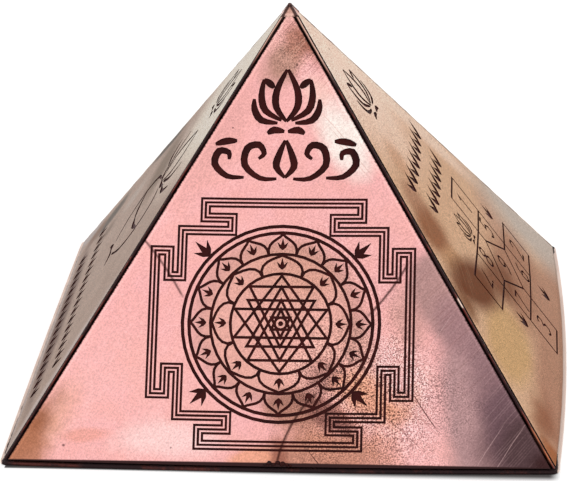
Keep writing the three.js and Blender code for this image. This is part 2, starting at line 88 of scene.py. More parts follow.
# Shape of the pyramid, read from the frame


@dataclass(frozen=True)
class Form:
    """The pyramid's overall form: its axis and the height of its apex."""

    axis: Vector
    height: float

    @classmethod
    def from_frame(cls) -> "Form":
        """Reads the form from the solder tip, which stands on the axis."""
        low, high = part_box("apex_cap")
        return cls(Vector(((low.x + high.x) / 2, (low.y + high.y) / 2, 0)), high.z)

    @property
    def half(self) -> float:
        """Half of the base side."""
        return BASE_SIDE / 2

    @property
    def slant(self) -> float:
        """Length of a face up its slope."""
        return math.hypot(self.half, self.height)

    def hip_point(self, turns: float, share: float) -> Vector:
        """Point on a hip, by its quarter turns from the front right one: 0 at the apex, 1 at the base."""
        corner = Vector((self.half, -self.half, -self.height)) * share
        corner.rotate(Matrix.Rotation(turns * math.pi / 2, 3, "Z"))
        return self.axis + Vector((0, 0, self.height)) + corner


@dataclass(frozen=True)
class Face:
    """One bowed side of the pyramid, with its own flat drawing frame."""

    side: Side
    form: Form
    turn: Matrix  # from the front to this side, about the axis of the pyramid
    upright: Matrix  # from the row frame to this face's frame, seen as the front face
    bow: float  # how far the middle of the base edge bulges

    @classmethod
    def of(cls, side: Side, form: Form) -> "Face":
        """Makes a side's face, with its bow read from the base plate."""
        turn = Matrix.Rotation(side.value * math.pi / 2, 4, "Z")
        upright = (Matrix.Translation(form.axis) @ turn).inverted()
        reach = [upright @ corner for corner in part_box("base_plate")]
        return cls(side, form, turn, upright, -min(corner.y for corner in reach) - form.half)

    @property
    def flat(self) -> Matrix:
        """From the row frame to the flat drawing: across, up the slope and out of the face."""
        slope = math.atan2(self.form.height, self.form.half)
        place = Matrix.Translation((0, -self.form.half, 0)) @ Matrix.Rotation(slope, 4, "X")
        return place.inverted() @ self.upright

    def surface(self, point: Vector) -> tuple[float, Vector]:
        """Compares a point with the bowed outer surface.

        Args:
            point: a point in the row frame.

        Returns:
            Its depth below the surface, and the surface's outward direction there, in the row frame.
        """
        local = self.upright @ point
        form = self.form
        taper = max(1 - local.z / form.height, 1e-4)
        across = (local.x / form.half) ** 2
        outer = -(form.half * taper + self.bow * (taper - across / taper))
        lean = (form.half + self.bow * (1 + across / taper ** 2)) / form.height
        outward = Vector((2 * self.bow * local.x / (form.half ** 2 * taper), -1, lean)).normalized()
        depth = (local.y - outer) * form.height / form.slant
        return depth, self.turn.to_3x3() @ outward


# Node trees


@dataclass(frozen=True)
class Board:
    """Adds nodes and links to one node tree."""

    tree: NodeTree

    def add(self, kind: str, inputs: Inputs | None = None, **settings: object) -> Node:
        """Adds a node.

        Args:
            kind: the node's type name.
            inputs: a value or a socket for each named or numbered input.
            settings: the node's own properties.

        Returns:
            The new node.
        """
        node = self.tree.nodes.new(kind)
        for name, value in settings.items():
            setattr(node, name, value)
        self.feed(node, inputs or {})
        return node

    def feed(self, node: Node, inputs: Inputs) -> None:
        """Links sockets to a node's inputs, or sets the inputs' own values."""
        for name, value in inputs.items():
            target = node.inputs[name]
            if isinstance(value, Socket):
                self.tree.links.new(value, target)
            elif target.type == "RGBA":
                target.default_value = (*value, 1)
            else:
                target.default_value = value

    def math(self, operation: str, *values: object, clamp: bool = False) -> Socket:
        """Works out a function of numbers."""
        inputs = dict(enumerate(values))
        return self.add("ShaderNodeMath", inputs, operation=operation, use_clamp=clamp).outputs[0]

    plus = partialmethod(math, "ADD")
    minus = partialmethod(math, "SUBTRACT")
    times = partialmethod(math, "MULTIPLY")
    over = partialmethod(math, "DIVIDE")
    larger = partialmethod(math, "MAXIMUM")
    absolute = partialmethod(math, "ABSOLUTE")

    def vector(self, operation: str, *values: object) -> Socket:
        """Works out a function of vectors: a vector, or a number for a length."""
        node = self.add("ShaderNodeVectorMath", dict(enumerate(values)), operation=operation)
        return node.outputs["Value" if operation == "LENGTH" else "Vector"]

    def parts(self, vector: Socket) -> Given:
        """A vector's three numbers, by the names X, Y and Z."""
        return self.add("ShaderNodeSeparateXYZ", {"Vector": vector}).outputs

    def turned(self, place: Socket, angle: object) -> Socket:
        """Coordinates turned back by an angle in the plane of the face."""
        inputs = {"Vector": place, "Angle": self.times(angle, -1.0)}
        return self.add("ShaderNodeVectorRotate", inputs, rotation_type="Z_AXIS").outputs[0]

    def ramp(self, value: object, low: object, high: object, to_low: object = 0.0,
             to_high: object = 1.0) -> Socket:
        """Maps a number from one range to another, with soft ends."""
        inputs = {"Value": value, "From Min": low, "From Max": high, "To Min": to_low, "To Max": to_high}
        return self.add("ShaderNodeMapRange", inputs, interpolation_type="SMOOTHSTEP").outputs["Result"]

    def noise(self, place: object, scale: object, detail: float = 2.0, roughness: float = 0.5) -> Socket:
        """Cloudy noise from 0 to 1."""
        inputs = {"Vector": place, "Scale": scale, "Detail": detail, "Roughness": roughness}
        return self.add("ShaderNodeTexNoise", inputs).outputs[0]

    def mix(self, share: object, first: object, second: object, blend: str = "MIX") -> Socket:
        """Mixes two colours."""
        inputs = {"Factor": share, 6: first, 7: second}
        return self.add("ShaderNodeMix", inputs, data_type="RGBA", blend_type=blend).outputs[2]

    def shaded(self, colour: Socket, shade: Socket) -> Socket:
        """Multiplies a colour by a number."""
        grey = self.add("ShaderNodeCombineColor", dict.fromkeys(range(3), shade)).outputs[0]
        return self.mix(1.0, colour, grey, "MULTIPLY")

    def bump(self, height: Socket, distance: float) -> Socket:
        """Normals of a rough surface, its relief in metres."""
        return self.add("ShaderNodeBump", {"Height": height, "Distance": distance}).outputs[0]

    def effect(self, effect: "Effect", place: Socket, **inputs: object) -> Socket:
        """Puts in a shared effect. Each keyword names one of its inputs."""
        return self.add("ShaderNodeGroup", {"Place": place} | inputs, node_tree=effect.tree()).outputs[0]


def soft_patch(board: Board, given: Given) -> Socket:
    """An oval patch with a ragged, soft rim. Lengths are in millimetres on the face."""
    away = board.vector("SUBTRACT", given["Place"], given["Centre"])
    share = board.vector("DIVIDE", board.turned(away, given["Turn"]), given["Radii"])
    cloud = board.minus(board.noise(given["Place"], 0.11, 4.0, 0.6), 0.5)
    wobble = board.times(cloud, board.times(given["Ragged"], 3.0))
    inner = board.minus(1.0, given["Softness"])
    return board.ramp(board.plus(board.vector("LENGTH", share), wobble), inner, 1.0, 1.0, 0.0)


def brushed_grain(board: Board, given: Given) -> Socket:
    """Fine lines left by brushing, from 0 to 1, along one direction."""
    turned = board.turned(given["Place"], given["Turn"])
    squeeze = board.add("ShaderNodeCombineXYZ", {"X": given["Stretch"], "Y": 1.0, "Z": 1.0}).outputs[0]
    return board.noise(board.vector("MULTIPLY", turned, squeeze), given["Fineness"], 3.0, 0.6)


def hair_scratches(board: Board, given: Given) -> Socket:
    """Scattered straight hairlines along one direction, each in its own lane."""
    turned = board.turned(given["Place"], given["Turn"])
    parts = board.parts(turned)
    bend = board.times(board.minus(board.noise(turned, 0.07), 0.5), 0.6)
    across = board.over(board.plus(parts["Y"], bend), given["Spacing"])
    lane = board.math("FLOOR", across)
    chance = board.add("ShaderNodeTexWhiteNoise", {"W": lane}, noise_dimensions="1D").outputs["Value"]
    offset = board.math("MULTIPLY_ADD", chance, 37.0, 11.0)
    along = board.over(board.plus(parts["X"], offset), HAIR_LENGTH)
    key = board.add("ShaderNodeCombineXYZ", {"X": lane, "Y": board.math("FLOOR", along)}).outputs[0]
    pick = board.add("ShaderNodeTexWhiteNoise", {"Vector": key}, noise_dimensions="3D").outputs["Value"]
    chosen = board.math("LESS_THAN", pick, given["Share"])
    gap = board.times(board.absolute(board.minus(board.math("FRACT", across), 0.5)), given["Spacing"])
    thin = board.ramp(gap, given["Width"], 0.0)
    ends = board.ramp(board.absolute(board.minus(board.math("FRACT", along), 0.5)), 0.5, 0.2)
    return board.times(board.times(thin, ends), chosen)


def dark_specks(board: Board, given: Given) -> Socket:
    """Small round spots, scattered at random and of uneven size."""
    scale = board.over(1.0, given["Spacing"])
    cells = board.add("ShaderNodeTexVoronoi", {"Vector": given["Place"], "Scale": scale}).outputs
    random = board.add("ShaderNodeSeparateColor", {"Color": cells["Color"]}).outputs
    size = board.times(random[1], given["Size"])
    away = board.times(cells["Distance"], given["Spacing"])
    spot = board.ramp(away, size, board.times(size, 0.5))
    return board.times(spot, board.math("LESS_THAN", random[0], given["Share"]))


def stain_line(board: Board, given: Given) -> Socket:
    """A thin line along an arc, seen between two heights up the face: a stain, or a painted reflection of a
    dark line.
    """
    away = board.vector("LENGTH", board.vector("SUBTRACT", given["Place"], given["Centre"]))
    band = board.ramp(board.absolute(board.minus(away, given["Radius"])), given["Width"], 0.0)
    up = board.parts(given["Place"])["Y"]
    above = board.ramp(up, given["Low"], board.plus(given["Low"], ARC_LINE_FADE))
    below = board.ramp(up, given["High"], board.minus(given["High"], ARC_LINE_FADE))
    return board.times(board.times(band, above), below)


def hip_distance(board: Board, given: Given) -> Socket:
    """Distance from the nearer hip along the face, in millimetres."""
    parts = board.parts(given["Place"])
    half, slant = given["Half"], given["Slant"]
    in_by = board.minus(half, board.absolute(parts["X"]))
    area = board.minus(board.times(in_by, slant), board.times(parts["Y"], half))
    edge = board.math("SQRT", board.plus(board.times(half, half), board.times(slant, slant)))
    return board.over(area, edge)


def ridge_distance(board: Board, given: Given) -> Socket:
    """Distance from the upright plane through the nearest hip, in millimetres."""
    away = board.vector("SUBTRACT", given["Place"], given["Axis"])
    parts = board.parts(board.vector("ABSOLUTE", away))
    return board.times(board.absolute(board.minus(parts["X"], parts["Y"])), math.sqrt(0.5))


def mottle(board: Board, given: Given) -> Socket:
    """Blotches of many sizes, from 0 to 1."""
    scale = board.over(1.0, given["Size"])
    return board.ramp(board.noise(given["Place"], scale, 5.0, 0.55), 0.32, 0.68)


@dataclass(frozen=True)
class Recipe:
    """How the node group of a shared effect is made."""

    make: Callable[[Board, Given], Socket]
    output: str
    inputs: dict[str, object]  # names and defaults besides Place: a number, or a triple for a vector

    def build(self, name: str) -> NodeTree:
        """Makes the node group, with one number as its output."""
        tree = bpy.data.node_groups.new(name, "ShaderNodeTree")
        for label, default in ({"Place": (0, 0, 0)} | self.inputs).items():
            kind = "NodeSocketFloat" if isinstance(default, float) else "NodeSocketVector"
            tree.interface.new_socket(label, in_out="INPUT", socket_type=kind).default_value = default
        tree.interface.new_socket(self.output, in_out="OUTPUT", socket_type="NodeSocketFloat")
        board = Board(tree)
        result = self.make(board, board.add("NodeGroupInput").outputs)
        board.add("NodeGroupOutput", {self.output: result})
        return tree


class Effect(Enum):
    """Shared effects, each one node group that is built once."""

    SOFT_PATCH = Recipe(soft_patch, "Mask", {
        "Centre": (0, 0, 0), "Radii": (10, 10, 1000), "Turn": 0.0, "Softness": 0.6, "Ragged": 0.3})
    BRUSHED_GRAIN = Recipe(brushed_grain, "Height", {"Turn": 0.0, "Fineness": 9.0, "Stretch": 0.06})
    HAIR_SCRATCHES = Recipe(hair_scratches, "Mask", {
        "Turn": 0.0, "Spacing": 3.0, "Share": 0.2, "Width": 0.05})
    DARK_SPECKS = Recipe(dark_specks, "Mask", {"Spacing": 3.0, "Size": 0.3, "Share": 0.3})
    STAIN_LINE = Recipe(stain_line, "Mask", {
        "Centre": (0, 0, 0), "Radius": 20.0, "Width": 0.3, "Low": 0.0, "High": 10.0})
    HIP_DISTANCE = Recipe(hip_distance, "Distance", {"Half": 50.0, "Slant": 86.6})
    RIDGE_DISTANCE = Recipe(ridge_distance, "Distance", {"Axis": (0, 0, 0)})
    MOTTLE = Recipe(mottle, "Mask", {"Size": 10.0})

    def tree(self) -> NodeTree:
        """The effect's node group."""
        name = self.name.lower().replace("_", " ")
        return bpy.data.node_groups.get(name) or self.value.build(name)


# Finishes


@dataclass(frozen=True)
class Zone:
    """An oval on a face with a soft, ragged rim. Lengths in millimetres, angle in degrees."""

    across: float
    up: float
    width: float
    length: float
    turn: float = 0.0
    strength: float = 0.8
    softness: float = 0.75
    ragged: float = 0.3

    def mask(self, board: Board, place: Socket) -> Socket:
        """How much the zone counts at each place of the face."""
        mask = board.effect(
            Effect.SOFT_PATCH, place, Centre=(self.across, self.up, 0),
            Radii=(self.width, self.length, 1000), Turn=math.radians(self.turn), Softness=self.softness,
            Ragged=self.ragged)
        return board.times(mask, self.strength)


@dataclass(frozen=True)
class Patch:
    """A patch on a face: tarnish, a painted highlight, or partly tarnish and partly painted reflection."""

    colour: Colour
    zone: Zone

    @classmethod
    def rows(cls, *rows: tuple) -> tuple["Patch", ...]:
        """Reads rows, each with a colour as seen on a screen and the values of a zone."""
        return tuple(cls(tone(*colour), Zone(*zone)) for colour, *zone in rows)


@dataclass(frozen=True)
class Stain:
    """A thin curved line on a face: a stain, or a painted reflection of a dark line. Lengths in millimetres.
    """

    across: float
    up: float
    radius: float
    low: float
    high: float
    width: float
    strength: float


@dataclass(frozen=True)
class Scratches:
    """Hairlines along one direction, kept to a zone. Lengths in millimetres, angle in degrees."""

    turn: float
    zone: Zone
    spacing: float
    share: float
    width: float
    colour: Colour
    strength: float


def new_material(name: str) -> tuple[Material, Board, Node]:
    """Starts a material, and returns it with its board and its surface shader."""
    material = bpy.data.materials.new(name)
    material.use_nodes = True
    return material, Board(material.node_tree), material.node_tree.nodes["Principled BSDF"]


def coordinates(board: Board, drawing: Matrix = Matrix.Identity(4)) -> Socket:
    """Coordinates in millimetres, in the row frame or in the frame of a drawing."""
    inputs = {"Vector": board.add("ShaderNodeTexCoord").outputs["Object"], "Scale": (1 / MM,) * 3,
              "Location": drawing.to_translation() / MM, "Rotation": drawing.to_euler()}
    return board.add("ShaderNodeMapping", inputs, vector_type="POINT").outputs[0]


@dataclass(frozen=True)
class PanelCopper:
    """Brushed copper sheet with tarnish, scratches and specks, painted highlights and painted reflections,
    and a dark line of patina and painted shade along its hips and foot.

    Lengths are in millimetres. Of two lengths, the effect is whole at the first and gone at the second.
    """

    face: Face
    colour: Colour
    warm: Colour
    patches: tuple[Patch, ...]
    stains: tuple[Stain, ...] = ()
    scratches: tuple[Scratches, ...] = ()
    grit: tuple[Zone, ...] = ()  # where the speckle of the sheet is stronger
    roughness: float = 0.34
    grain_turn: float = 62.0  # direction of the brushing, in degrees
    # patina of the specks and stains, and also the colour of the painted shade along the edges and of the
    # painted reflection lines
    patina: Colour = tone(50, 17, 17)
    blush: Colour = tone(238, 168, 152)
    edge: Colour = (1.0, 1.0, 1.0)  # reflection at a grazing angle
    foot: float = 1.0  # how dark the lower edge is, with patina and painted shade
    rim: float = 0.14  # painted highlight: how much brighter the sheet is just beside the hips
    hip_line: Span = (0.72, 0.98)  # dark line of patina and painted shade, from the hip
    rim_band: Span = (1.2, 1.5)  # brighter band of painted highlight, from the hip
    foot_line: Span = (1.1, 1.35)  # dark lower edge of patina and painted shade, up the slope
    cloud_size: float = 22.0
    blotch_size: float = 6.0
    speck_spacing: float = 5.0
    speck_size: float = 0.42
    wave_height: float = 0.22  # slow unevenness of the sheet
    grain_height: float = 0.004
    scratch_depth: float = 0.006

    def tarnished(self, board: Board, place: Socket) -> Socket:
        """Colour of the sheet with its patches of tarnish, painted highlight and painted reflection, and its
        stains and painted reflection lines.
        """
        clouds = board.effect(Effect.MOTTLE, place, Size=self.cloud_size)
        colour = board.mix(board.times(clouds, 0.5), self.colour, self.warm)
        blotches = board.effect(Effect.MOTTLE, place, Size=self.blotch_size)
        colour = board.mix(board.times(blotches, 0.28), colour, self.blush)
        for patch in self.patches:
            colour = board.mix(patch.zone.mask(board, place), colour, patch.colour)
        for line_mark in self.stains:
            line = board.effect(
                Effect.STAIN_LINE, place, Centre=(line_mark.across, line_mark.up, 0), Radius=line_mark.radius,
                Width=line_mark.width, Low=line_mark.low, High=line_mark.high)
            colour = board.mix(board.times(line, line_mark.strength), colour, self.patina)
        return colour

    def scratched(self, board: Board, place: Socket, colour: Socket) -> tuple[Socket, object]:
        """Adds the hairlines, and returns the colour and a mask of all of them."""
        total: object = 0.0
        for marks in self.scratches:
            lines = board.effect(
                Effect.HAIR_SCRATCHES, place, Turn=math.radians(marks.turn), Spacing=marks.spacing,
                Share=marks.share, Width=marks.width)
            mask = board.times(lines, marks.zone.mask(board, place))
            colour = board.mix(board.times(mask, marks.strength), colour, marks.colour)
            total = board.larger(total, mask)
        return colour, total

    def shade(self, board: Board, place: Socket, grain: Socket, speckle: Socket) -> Socket:
        """How light the sheet is by its grain, its speckle and its grit."""
        grit: object = 0.0
        for zone in self.grit:
            grit = board.plus(grit, zone.mask(board, place))
        grit = board.times(board.ramp(board.noise(place, 4.4, 1.0, 0.6), 0.3, 0.7, -1.0, 1.0), grit)
        grit = board.plus(grit, board.ramp(speckle, 0.25, 0.75, -0.2, 0.2))
        return board.plus(board.ramp(grain, 0.25, 0.75, 0.9, 1.07), grit)

    def edges(self, board: Board, place: Socket, speckle: Socket) -> tuple[Socket, Socket]:
        """How dark the sheet is along its edges, with patina and painted shade, and how much brighter just
        beside the hips, with a painted highlight.
        """
        form = self.face.form
        hip = board.effect(Effect.HIP_DISTANCE, place, Half=form.half / MM, Slant=form.slant / MM)
        hip = board.plus(hip, board.times(board.minus(speckle, 0.5), 0.5))
        foot = board.ramp(board.parts(place)["Y"], *self.foot_line, self.foot, 0.0)
        dark = board.larger(board.ramp(hip, *self.hip_line, 1.0, 0.0), foot)
        return dark, board.ramp(hip, *self.rim_band, 1 + self.rim, 1.0)

    def material(self) -> Material:
        """Builds the material."""
        material, board, surface = new_material(f"{self.face.side.label}_copper")
        place = coordinates(board, self.face.flat)
        colour, hairs = self.scratched(board, place, self.tarnished(board, place))
        grain = board.effect(Effect.BRUSHED_GRAIN, place, Turn=math.radians(self.grain_turn))
        speckle = board.noise(place, 3.0, 3.0, 0.75)
        colour = board.shaded(colour, self.shade(board, place, grain, speckle))
        specks = board.effect(
            Effect.DARK_SPECKS, place, Spacing=self.speck_spacing, Size=self.speck_size, Share=0.5)
        colour = board.mix(board.times(specks, 0.7), colour, self.patina)
        # Patina and painted shade darken the edges; a painted highlight brightens the sheet just beside the
        # hips.
        dark, painted_rim_highlight = self.edges(board, place, speckle)
        colour = board.shaded(colour, painted_rim_highlight)
        rough = board.plus(self.roughness, board.times(board.minus(grain, 0.5), 0.22))
        height = board.times(board.noise(place, 0.055, 2.0, 0.4), self.wave_height)
        height = board.plus(height, board.times(grain, self.grain_height))
        height = board.minus(height, board.times(hairs, self.scratch_depth))
        board.feed(surface, {
            "Base Color": board.mix(dark, colour, self.patina),
            "Metallic": board.ramp(dark, 0.0, 1.0, 1.0, 0.55),
            "Roughness": board.larger(rough, board.times(dark, 0.6)),
            "Specular Tint": self.edge,
            "Normal": board.bump(height, MM)})
        return material


@dataclass(frozen=True)
class EtchedPatina:
    """Dark oxide on the floor and walls of the etched lines."""

    face: Face
    deep: Colour = tone(46, 8, 8)
    worn: Colour = tone(78, 22, 18)
    relief: float = 0.02 * MM

    def material(self) -> Material:
        """Builds the material."""
        material, board, surface = new_material(f"{self.face.side.label}_etched_patina")
        place = coordinates(board, self.face.flat)
        clouds = board.effect(Effect.MOTTLE, place, Size=4.0)
        grit = board.noise(place, 3.0, 3.0, 0.7)
        board.feed(surface, {
            "Base Color": board.mix(board.times(clouds, 0.6), self.deep, self.worn),
            "Roughness": board.ramp(grit, 0.3, 0.7, 0.5, 0.75),
            "Metallic": 0.0,
            "Specular IOR Level": 0.12,
            "Normal": board.bump(grit, self.relief)})
        return material


@dataclass(frozen=True)
class Spot:
    """A worn or stained spot on a seam, or a spot of painted highlight on the plate. Lengths in metres, in
    the row frame.
    """

    centre: Vector
    radii: Vector
    colour: Colour
    strength: float
    softness: float


@dataclass(frozen=True)
class Ridge:
    """A colour along the ridges of the hips, or beside them. Distances from the ridge in millimetres."""

    axis: Vector
    full: float  # where the colour is whole
    none: float  # where it has faded out
    colour: Colour
    strength: float = 0.9


@dataclass(frozen=True)
class SeamMetal:
    """Solder or plate with blotches of oxide over a brighter metal, worn bright in spots; the plate's spots
    are a painted highlight.
    """

    name: str
    bright: Colour
    oxide: Colour
    covered: float
    roughness: float
    blotch: float  # size of the blotches, in millimetres
    spots: tuple[Spot, ...] = ()
    ridge: Ridge | None = None
    relief: float = 0.08 * MM

    def material(self) -> Material:
        """Builds the material."""
        material, board, surface = new_material(self.name)
        place = coordinates(board)
        clouds = board.effect(Effect.MOTTLE, place, Size=self.blotch)
        grit = board.noise(place, 1.8, 4.0, 0.65)
        oxide = board.plus(clouds, board.minus(grit, 0.5))
        oxide = board.ramp(oxide, 0.75 - self.covered, 1.35 - self.covered)
        colour = board.mix(oxide, self.bright, self.oxide)
        for spot in self.spots:
            # Each spot is wear or a stain, and on the plate a painted highlight.
            worn = board.effect(
                Effect.SOFT_PATCH, place, Centre=spot.centre / MM, Radii=spot.radii / MM,
                Softness=spot.softness, Ragged=0.15)
            colour = board.mix(board.times(worn, spot.strength), colour, spot.colour)
        if self.ridge:
            gap = board.effect(Effect.RIDGE_DISTANCE, place, Axis=self.ridge.axis / MM)
            line = board.ramp(gap, self.ridge.full, self.ridge.none, self.ridge.strength, 0.0)
            colour = board.mix(line, colour, self.ridge.colour)
        board.feed(surface, {
            "Base Color": colour,
            "Metallic": board.ramp(oxide, 0.0, 1.0, 1.0, 0.6),
            "Roughness": board.ramp(oxide, 0.0, 1.0, self.roughness, self.roughness + 0.2),
            "Normal": board.bump(grit, self.relief)})
        return material


# Meshes


def merged_copy(node: str) -> bmesh.types.BMesh:
    """Copies a CAD node's loose triangles into one closed mesh."""
    mesh = bmesh.new()
    mesh.from_mesh(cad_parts[node].data)
    bmesh.ops.remove_doubles(mesh, verts=mesh.verts, dist=MERGE)
    return mesh


def mark_sharp(mesh: bmesh.types.BMesh, angle: float = SHARP) -> None:
    """Shades the mesh smoothly, apart from edges sharper than the angle."""
    for face in mesh.faces:
        face.smooth = True
    for edge in mesh.edges:
        edge.smooth = len(edge.link_faces) == 2 and edge.calc_face_angle(0) < angle


def linked(name: str, data: ID) -> Object:
    """Puts a new object with this data into the scene."""
    made = bpy.data.objects.new(name, data)
    bpy.context.scene.collection.objects.link(made)
    return made


def finished(mesh: bmesh.types.BMesh, name: str, slot: str, *materials: Material) -> Object:
    """Turns a bmesh into a piece of the pyramid.

    Args:
        mesh: the piece's mesh, in the row frame. It is freed.
        name: the piece's name.
        slot: the name of a material slot; not used.
        materials: its materials, in the order of the faces' indices.

    Returns:
        The new object, which rides on the pyramid's one body.
    """
    data = bpy.data.meshes.new(name)
    mesh.to_mesh(data)
    mesh.free()
    for material in materials:
        data.materials.append(material)
    piece = linked(name, data)
    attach(piece, "root")
    LOG.info("%s: %d faces", name, len(data.polygons))
    return piece


@dataclass
class Panel:
    """One etched panel."""

    face: Face
    copper: PanelCopper

    def build(self) -> Object:
        """Copies the solid, tells sheet from etched line and gives it the bow's true normals."""
        node = f"{self.face.side.label}_panel"
        mesh = merged_copy(node)
        depths = {vert: self.face.surface(vert.co)[0] for vert in mesh.verts}
        low, high = ETCH_RANGE
        for face in mesh.faces:
            face.material_index = int(low < max(depths[vert] for vert in face.verts) < high)
        mark_sharp(mesh)
        piece = finished(mesh, f"etched_{node}", "etched_copper", self.copper.material(),
                         EtchedPatina(self.face).material())
        self.true_normals(piece.data)
        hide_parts(node)
        return piece

    def true_normals(self, data: Mesh) -> None:
        """Sets the outward direction of the bow on every face that lies along it."""
        normals = [Vector()] * len(data.loops)
        for polygon in data.polygons:
            outward = self.face.surface(polygon.center)[1]
            if polygon.normal.dot(outward) < ALONG_BOW:
                continue
            for loop in polygon.loop_indices:
                point = data.vertices[data.loops[loop].vertex_index].co
                normals[loop] = self.face.surface(point)[1]
        data.normals_split_custom_set(normals)


@dataclass
class HipSeam:
    """Solder seam along one hip, with an uneven crown."""

    form: Form
    name: str
    turns: int
    metal: Material
    step: float = 1.2 * MM
    swell: float = 0.05 * MM
    long_wave: float = 2.2 * MM
    short_wave: float = 0.8 * MM
    crown: float = 0.5 * MM  # only what lies this close below the hip is uneven

    def build(self) -> Object:
        """Cuts the seam into short lengths and makes its crown uneven."""
        node = f"hip_seam_{self.name}"
        mesh = merged_copy(node)
        top, foot = self.form.hip_point(self.turns, 0), self.form.hip_point(self.turns, 1)
        along = (foot - top).normalized()
        reach = [(vert.co - top).dot(along) for vert in mesh.verts]
        low, high = min(reach), max(reach)
        for i in range(1, int((high - low) / self.step)):
            geometry = mesh.verts[:] + mesh.edges[:] + mesh.faces[:]
            cut = top + along * (low + i * self.step)
            bmesh.ops.bisect_plane(mesh, geom=geometry, dist=MERGE, plane_co=cut, plane_no=along)
        outward = along.cross(Vector((0, 0, 1))).cross(along).normalized()  # square to the hip
        for vert in mesh.verts:
            if (vert.co - top).dot(outward) > -self.crown:
                wave = noise.noise(vert.co / self.long_wave) + 0.6 * noise.noise(vert.co / self.short_wave)
                vert.co += outward * (wave * self.swell)
        mark_sharp(mesh, math.radians(40))
        piece = finished(mesh, f"solder_seam_{self.name}", "seam_solder", self.metal)
        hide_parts(node)
        return piece


@dataclass
class SolderTip:
    """Rounded solder tip on the apex."""

    form: Form
    metal: Material
    swell: float = 0.04 * MM
    wave: float = 0.7 * MM
    height: float = 3 * MM  # of the part that is rounded and made uneven
    crease: float = 0.12 * MM  # width of its rounded edges
    run: float = 0.28 * MM  # how far the solder ran down over the panels
    rim_height: float = 0.3 * MM
    coarse: float = 0.6 * MM  # longer edges are divided
    stem: float = 0.8 * MM  # the stem lies closer to the axis than this

    def build(self) -> Object:
        """Refines the tip, lets its rim run down over the panels and makes it slightly uneven."""
        mesh = merged_copy("apex_cap")
        top = max(vert.co.z for vert in mesh.verts)
        rim = min(vert.co.z for vert in mesh.verts if (vert.co - self.form.axis).xy.length > self.stem)
        for vert in mesh.verts:
            out = (vert.co - self.form.axis).xy
            if out.length > self.stem and vert.co.z < rim + self.rim_height:
                out = out.normalized() * (self.run * self.form.half / self.form.height)
                vert.co += Vector((out.x, out.y, -self.run))
        low = top - self.height
        creases = [edge for edge in mesh.edges
                   if min(vert.co.z for vert in edge.verts) > low and edge.calc_face_angle(0) > SHARP]
        bmesh.ops.bevel(mesh, geom=creases, offset=self.crease, segments=2, profile=0.5, affect="EDGES",
                        material=-1, clamp_overlap=True)
        long = [edge for edge in mesh.edges if edge.calc_length() > self.coarse and edge.verts[0].co.z > low]
        bmesh.ops.subdivide_edges(mesh, edges=long, cuts=3, use_grid_fill=True)
        bmesh.ops.triangulate(mesh, faces=mesh.faces[:])
        for vert in mesh.verts:
            if vert.co.z > low:
                vert.co += vert.normal * noise.noise(vert.co / self.wave) * self.swell
        mark_sharp(mesh, math.radians(45))
        piece = finished(mesh, "solder_tip", "seam_solder", self.metal)
        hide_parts("apex_cap")
        return piece


@dataclass
class SolderDrips:
    """Small beads of solder that ran out at the foot of the front panel."""

    metal: Material
    # Each bead: across, height above the base and radius, in millimetres
    beads: tuple[Triple, ...] = (
        (-2.1, 1.1, 0.34), (-1.4, 1.3, 0.5), (-0.6, 1.1, 0.42), (0.2, 1.4, 0.46), (1.0, 1.2, 0.52),
        (1.8, 1.05, 0.38), (2.5, 1.0, 0.3))
    uneven: float = 0.35  # share of a bead's radius
    wave: float = 0.45 * MM
    flatness: float = 0.55  # share of its radius that is left across the panel
    proud: float = 0.1 * MM  # from the panel to the middle of a bead

    def build(self, face: Face) -> Object:
        """Makes each bead as an uneven ball, flattened against the panel."""
        mesh = bmesh.new()
        back = face.upright.inverted()
        for across, up, radius in self.beads:
            middle = self.on_face(face, across * MM, up * MM)
            made = bmesh.ops.create_icosphere(mesh, subdivisions=3, radius=radius * MM)["verts"]
            for vert in made:
                wave = noise.noise(vert.co / self.wave + Vector((across, up, 0)))
                vert.co *= 1 + self.uneven * wave
                vert.co.y *= self.flatness
            bmesh.ops.transform(mesh, matrix=back @ Matrix.Translation(middle), verts=made)
        mark_sharp(mesh, math.radians(60))
        return finished(mesh, "solder_drips", "dark_solder", self.metal)

    def on_face(self, face: Face, across: float, up: float) -> Vector:
        """A point just outside the bowed surface, in the face's upright frame."""
        taper = 1 - up / face.form.height
        return Vector((across, self.proud - (face.form.half + face.bow) * taper, up))


# Camera, floor and light


@dataclass(frozen=True)
class PhotoView:
    """Camera at the photograph's viewing angle. Lengths in millimetres, roll in degrees."""

    position: Triple = (42.26, -485.33, 233.83)
    target: Triple = (-2.05, -9.96, 27.19)
    roll: float = -1.547
    lens: float = 175.66

    def build(self) -> None:
        """Creates the camera and makes it the scene's own."""
        data = bpy.data.cameras.new("photo_camera")
        data.lens = self.lens
        data.sensor_fit = "HORIZONTAL"
        data.clip_start = 0.01
        camera = linked("photo_camera", data)
        position, target = Vector(self.position) * MM, Vector(self.target) * MM
        turn = (target - position).to_track_quat("-Z", "Y").to_matrix().to_4x4()
        roll = Matrix.Rotation(math.radians(self.roll), 4, "Z")
        camera.matrix_world = Matrix.Translation(position) @ turn @ roll
        bpy.context.scene.camera = camera


@dataclass(frozen=True)
class Softbox:
    """A large, even lamp that faces the pyramid. Lengths in millimetres, power in watts."""

    name: str
    place: Triple
    size: Span
    power: float
    aim_height: float = 25.0

    def build(self) -> None:
        """Creates the lamp."""
        data = bpy.data.lights.new(self.name, "AREA")
        data.shape = "RECTANGLE"
        data.size = self.size[0] * MM
        data.size_y = self.size[1] * MM
        data.energy = self.power
        lamp = linked(self.name, data)
        lamp.location = Vector(self.place) * MM
        aim = Vector((0, 0, self.aim_height * MM)) - lamp.location
        lamp.rotation_euler = aim.to_track_quat("-Z", "Y").to_euler()


